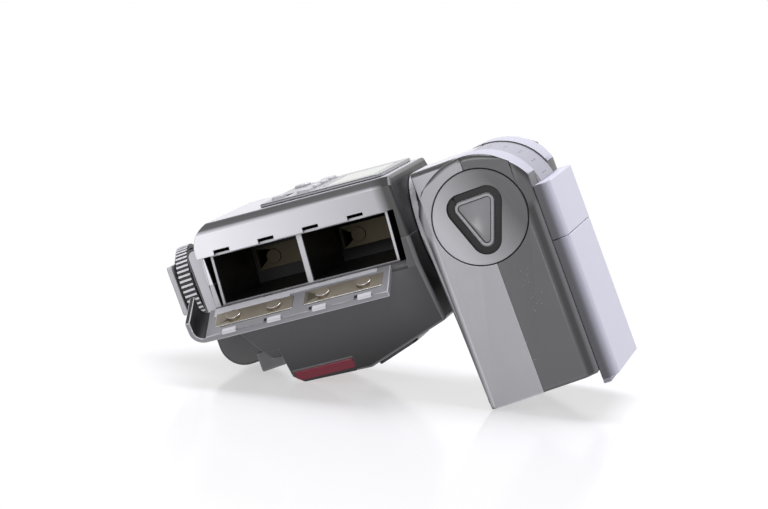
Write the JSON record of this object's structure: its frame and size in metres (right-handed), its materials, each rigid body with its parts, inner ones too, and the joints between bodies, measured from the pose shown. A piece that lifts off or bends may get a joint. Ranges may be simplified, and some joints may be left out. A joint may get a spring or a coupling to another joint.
{
  "type": "shoe-mount electronic flash unit",
  "caption": "Electronic flash unit with a tilting and swivelling zoom head, a side battery door, a red assist window and a locking shoe foot.",
  "frame": {"origin": "centre of the foot plate's underside", "axes": "+Z from the foot up to the head, -Y the way the flash fires, -X the side of the battery door"},
  "size_m": [0.0945, 0.0969, 0.1413],
  "materials": {
    "shell_dark": "fine matt moulded texture",
    "shell_grey": "fine matt moulded texture",
    "cover_dark": "satin, bright in glancing light",
    "black_plastic": "smooth moulded",
    "rubber_grey": "soft satin",
    "key_grey": "satin",
    "red_clear": "smoked red, polished",
    "dark_clear": "smoked, polished",
    "clear_lens": "clear with fine ribs",
    "lcd": "polished display pane",
    "board": "lacquered board",
    "capacitor_sleeve": "shrunk sleeve",
    "copper_wound": "taped winding",
    "steel": "bright plated",
    "gold": "gold flash",
    "mirror_metal": "bright rolled sheet",
    "tube_glass": "drawn glass"
  },
  "bodies": {
    "body": {"foot": "black_plastic", "foot_contacts": "gold", "foot_screws": "steel", "plinth": "shell_dark", "back_shell": "shell_grey", "front_shell": "shell_dark", "shell_screws": "steel", "battery_tray": "black_plastic", "cell_contacts": "steel", "main_board": "board", "main_capacitor": "capacitor_sleeve", "transformer": "copper_wound", "af_window": "red_clear", "af_lamp": "black_plastic", "sensor_window": "dark_clear", "back_panel": "black_plastic", "lcd_window": "lcd", "lcd_module": "black_plastic", "key_board": "board", "swivel_ring": "black_plastic"},
    "clamp": {"clamp_ring": "black_plastic"},
    "wheel": {"lock_wheel": "black_plastic"},
    "door_slider": {"door_hinge_pin": "steel"},
    "door": {"battery_door": "rubber_grey", "door_contacts": "steel"},
    "terminal": {"terminal_cover": "key_grey"},
    "key_1": {"key_1": "key_grey"},
    "key_2": {"key_2": "key_grey"},
    "key_3": {"key_3": "key_grey"},
    "key_4": {"key_4": "key_grey"},
    "test": {"test_button": "red_clear"},
    "switch": {"power_switch": "key_grey"},
    "neck": {"neck": "shell_grey", "tilt_axle": "steel", "axle_rings": "steel"},
    "head": {"head_lower_shell": "shell_grey", "head_upper_shell": "shell_dark", "near_disc": "shell_grey", "far_disc": "shell_grey", "release_guide": "steel", "release_spring": "steel", "rear_top_cover": "cover_dark", "front_top_cover": "cover_dark", "flash_window": "clear_lens", "zoom_rods": "steel", "zoom_motor": "steel", "head_screws": "steel"},
    "release": {"tilt_release": "rubber_grey"},
    "wide_panel": {"wide_panel": "clear_lens"},
    "zoom": {"zoom_carriage": "black_plastic", "reflector": "mirror_metal", "flash_tube": "tube_glass"},
    "zoom_screw": {"zoom_screw": "steel"}
  },
  "joints": [
    {"name": "clamp_lift", "type": "slide", "parent": "body", "child": "clamp", "axis": [0, 0, 1], "range_m": [0, 0.0016]},
    {"name": "wheel_turn", "type": "hinge", "parent": "clamp", "child": "wheel", "pos_m": [0, 0, 0.006], "axis": [0, 0, 1], "range_deg": [0, 360]},
    {"name": "door_lock", "type": "slide", "parent": "body", "child": "door_slider", "axis": [0, -0.0872, 0.9962], "range_m": [0, 0.0025]},
    {"name": "door_swing", "type": "hinge", "parent": "door_slider", "child": "door", "pos_m": [-0.0369, -0.01306, 0.05437], "axis": [0, 0.0872, -0.9962], "range_deg": [0, 115]},
    {"name": "terminal_pull", "type": "slide", "parent": "body", "child": "terminal", "axis": [0, -1, 0], "range_m": [0, 0.005]},
    {"name": "test_press", "type": "slide", "parent": "body", "child": "test", "axis": [0, -0.9962, -0.0872], "range_m": [0, 0.0008], "stiffness_N_per_m": 300},
    {"name": "switch_slide", "type": "slide", "parent": "body", "child": "switch", "axis": [1, 0, 0], "range_m": [0, 0.009]},
    {"name": "swivel", "type": "hinge", "parent": "body", "child": "neck", "pos_m": [0, -0.0095, 0.093], "axis": [0, 0, 1], "range_deg": [-90, 180]},
    {"name": "tilt", "type": "hinge", "parent": "neck", "child": "head", "pos_m": [0, -0.0095, 0.1161], "axis": [-1, 0, 0], "range_deg": [0, 90]},
    {"name": "release_press", "type": "slide", "parent": "head", "child": "release", "axis": [1, 0, 0], "range_m": [0, 0.0018], "stiffness_N_per_m": 300, "deforming": ["release_spring"]},
    {"name": "panel_pull", "type": "slide", "parent": "head", "child": "wide_panel", "axis": [0, -1, 0], "range_m": [0, 0.034]},
    {"name": "zoom_travel", "type": "slide", "parent": "head", "child": "zoom", "axis": [0, -1, 0], "range_m": [0, 0.012]},
    {"name": "zoom_screw_turn", "type": "hinge", "parent": "head", "child": "zoom_screw", "pos_m": [0.0259, -0.04, 0.1291], "axis": [0, -1, 0], "range_deg": [0, 720]},
    {"name": "key_1_press", "type": "slide", "parent": "body", "child": "key_1", "axis": [0, -0.9962, -0.0872], "range_m": [0, 0.0008], "stiffness_N_per_m": 300},
    {"name": "key_2_press", "type": "slide", "parent": "body", "child": "key_2", "axis": [0, -0.9962, -0.0872], "range_m": [0, 0.0008], "stiffness_N_per_m": 300},
    {"name": "key_3_press", "type": "slide", "parent": "body", "child": "key_3", "axis": [0, -0.9962, -0.0872], "range_m": [0, 0.0008], "stiffness_N_per_m": 300},
    {"name": "key_4_press", "type": "slide", "parent": "body", "child": "key_4", "axis": [0, -0.9962, -0.0872], "range_m": [0, 0.0008], "stiffness_N_per_m": 300}
  ],
  "couplings": [
    {"joint": "clamp_lift", "follows": "wheel_turn", "m_per_rad": 0.00025465},
    {"joint": "zoom_screw_turn", "follows": "zoom_travel", "rad_per_m": 1047.2}
  ]
}
